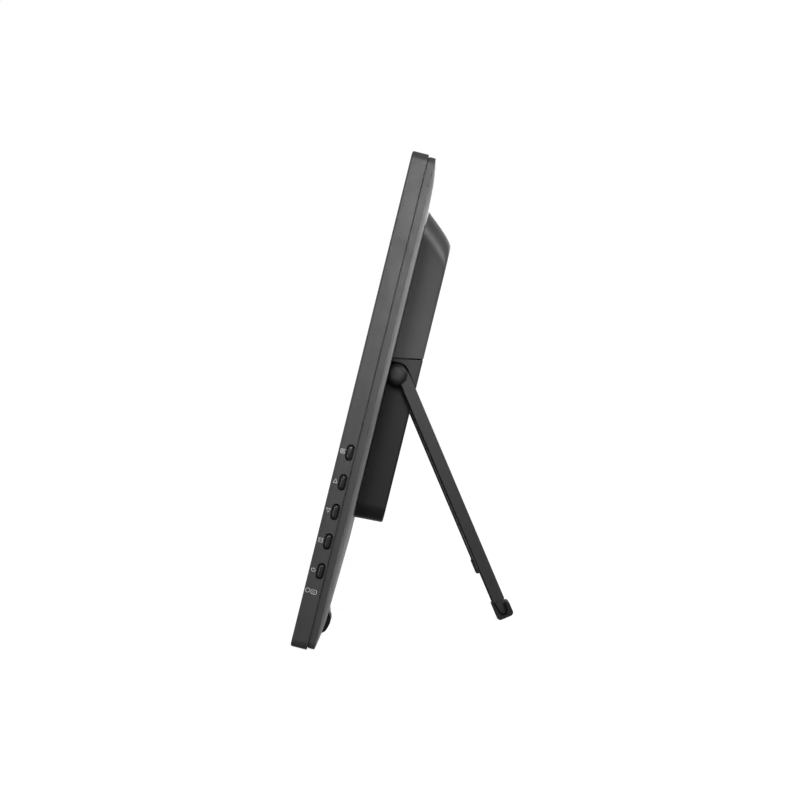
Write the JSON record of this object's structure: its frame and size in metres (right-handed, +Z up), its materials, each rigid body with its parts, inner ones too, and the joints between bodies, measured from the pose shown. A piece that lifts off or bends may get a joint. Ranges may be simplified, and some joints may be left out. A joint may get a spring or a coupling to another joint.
{
  "type": "digital photo frame",
  "caption": "Large table-top digital photo frame that leans back on a fold-out leg stand, with an electronics housing on its back, keys on its right edge and a downward bay for plugs.",
  "frame": {"origin": "centre of the footprint on the table, at table height", "axes": "+X across the display towards its keyed edge, +Y from the screen to the back, +Z up; the screen faces -Y and leans back 13.8 degrees"},
  "size_m": [0.5128, 0.1442, 0.301],
  "materials": {
    "shell_plastic": "fine spark-textured charcoal ABS",
    "cover_plastic": "fine spark-textured black ABS",
    "key_plastic": "smooth satin black plastic",
    "rubber": "matt black moulded rubber",
    "leg_plastic": "fine-textured dark grey glass-filled nylon",
    "screen_glass": "dark glossy display panel",
    "clear_plastic": "clear acrylic",
    "film": "white translucent film",
    "steel": "bright stamped steel",
    "dark_steel": "black zinc-plated steel",
    "circuit_board": "green solder mask",
    "chip_plastic": "black moulded epoxy or nylon",
    "aluminium": "plain extruded aluminium",
    "copper": "enamelled copper winding",
    "brass": "turned brass",
    "ribbon": "flat white ribbon cable"
  },
  "bodies": {
    "head": {"base_foot_left": "rubber", "base_foot_right": "rubber", "card_socket": "dark_steel", "chassis_plate": "steel", "dc_jack": "chip_plastic", "front_bezel": "shell_plastic", "hdmi_socket": "steel", "heat_sink": "aluminium", "hinge_bracket_left": "steel", "hinge_bracket_right": "steel", "hinge_bush_left": "clear_plastic", "hinge_bush_right": "clear_plastic", "housing_screw_1": "dark_steel", "housing_screw_2": "dark_steel", "housing_screw_3": "dark_steel", "housing_screw_4": "dark_steel", "housing_screw_5": "dark_steel", "housing_screw_6": "dark_steel", "key_board": "circuit_board", "key_cable": "ribbon", "led_bar": "circuit_board", "light_guide": "clear_plastic", "lower_housing": "cover_plastic", "main_board": "circuit_board", "main_spacer_1": "brass", "main_spacer_2": "brass", "main_spacer_3": "brass", "main_spacer_4": "brass", "optical_films": "film", "panel_cable": "ribbon", "panel_tray": "steel", "power_board": "circuit_board", "power_coil": "copper", "power_spacer_1": "brass", "power_spacer_2": "brass", "processor_chip": "chip_plastic", "rear_cover": "shell_plastic", "screen_glass": "screen_glass", "speaker_left": "chip_plastic", "speaker_right": "chip_plastic", "switch_down": "chip_plastic", "switch_menu": "chip_plastic", "switch_power": "chip_plastic", "switch_source": "chip_plastic", "switch_up": "chip_plastic", "upper_housing": "shell_plastic", "usb_socket": "steel"},
    "stand": {"hinge_clip_left": "steel", "hinge_clip_right": "steel", "hinge_shaft": "dark_steel", "stand_foot_left": "rubber", "stand_foot_right": "rubber", "stand_leg_left": "leg_plastic", "stand_leg_right": "leg_plastic"},
    "menu_key": {"key_menu": "key_plastic"},
    "up_key": {"key_up": "key_plastic"},
    "down_key": {"key_down": "key_plastic"},
    "source_key": {"key_source": "key_plastic"},
    "power_key": {"key_power": "key_plastic"}
  },
  "joints": [
    {"name": "stand_fold", "type": "hinge", "parent": "head", "child": "stand", "pos_m": [0, -0.00801, 0.16787], "axis": [1, 0, 0], "range_deg": [-37.5, 0]},
    {"name": "menu_press", "type": "slide", "parent": "head", "child": "menu_key", "axis": [-1, 0, 0], "range_m": [0, 0.0008], "stiffness_N_per_m": 1200},
    {"name": "up_press", "type": "slide", "parent": "head", "child": "up_key", "axis": [-1, 0, 0], "range_m": [0, 0.0008], "stiffness_N_per_m": 1200},
    {"name": "down_press", "type": "slide", "parent": "head", "child": "down_key", "axis": [-1, 0, 0], "range_m": [0, 0.0008], "stiffness_N_per_m": 1200},
    {"name": "source_press", "type": "slide", "parent": "head", "child": "source_key", "axis": [-1, 0, 0], "range_m": [0, 0.0008], "stiffness_N_per_m": 1200},
    {"name": "power_press", "type": "slide", "parent": "head", "child": "power_key", "axis": [-1, 0, 0], "range_m": [0, 0.0008], "stiffness_N_per_m": 1200}
  ]
}
